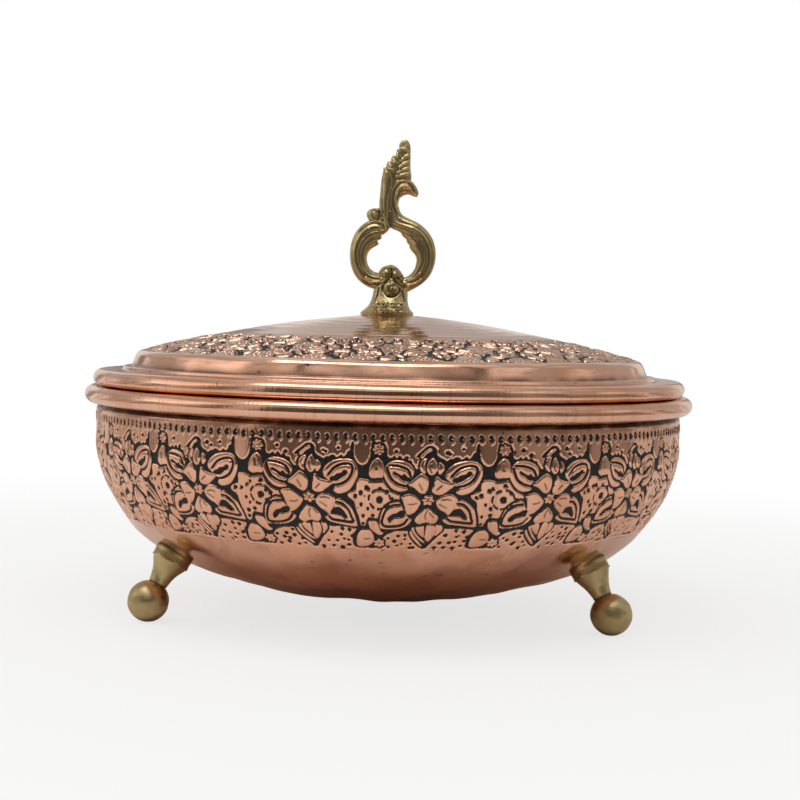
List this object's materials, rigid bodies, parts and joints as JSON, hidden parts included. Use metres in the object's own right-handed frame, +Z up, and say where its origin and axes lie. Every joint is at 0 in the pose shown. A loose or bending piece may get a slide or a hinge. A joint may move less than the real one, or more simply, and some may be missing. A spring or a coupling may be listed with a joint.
{
  "type": "lidded candy dish",
  "caption": "Round lidded copper candy dish on brass ball feet, with a chased floral band and a cast brass scroll and leaf handle on its domed lift-off lid.",
  "frame": {"origin": "on the table under the bowl's axis, at the bottom centre of the bounding box", "axes": "+Z up along the bowl's axis; the front faces -Y with a foot 60 degrees either side of it; the finial's two scrolls lie in the XZ plane"},
  "size_m": [0.2, 0.2, 0.1557],
  "materials": {
    "copper_bowl": null,
    "copper_lid": null,
    "rim_wire": "drawn iron wire, hidden inside the rolled rims",
    "cast_brass": "sand-cast brass, worn and darkened in the hollows",
    "fastener_steel": "plated steel",
    "washer_copper": "soft copper washers"
  },
  "bodies": {
    "dish": {"bowl": "copper_bowl", "bowl_rim_wire": "rim_wire", "foot_left": "cast_brass", "foot_right": "cast_brass", "foot_back": "cast_brass", "foot_screws": "fastener_steel", "foot_washers": "washer_copper"},
    "cover": {"lid": "copper_lid", "lid_rim_wire": "rim_wire", "finial": "cast_brass", "finial_screw": "fastener_steel", "finial_washer": "washer_copper"}
  },
  "joints": [
    {"name": "lid_lift", "type": "slide", "parent": "dish", "child": "cover", "axis": [0, 0, 1], "range_m": [0, 0.12]}
  ]
}
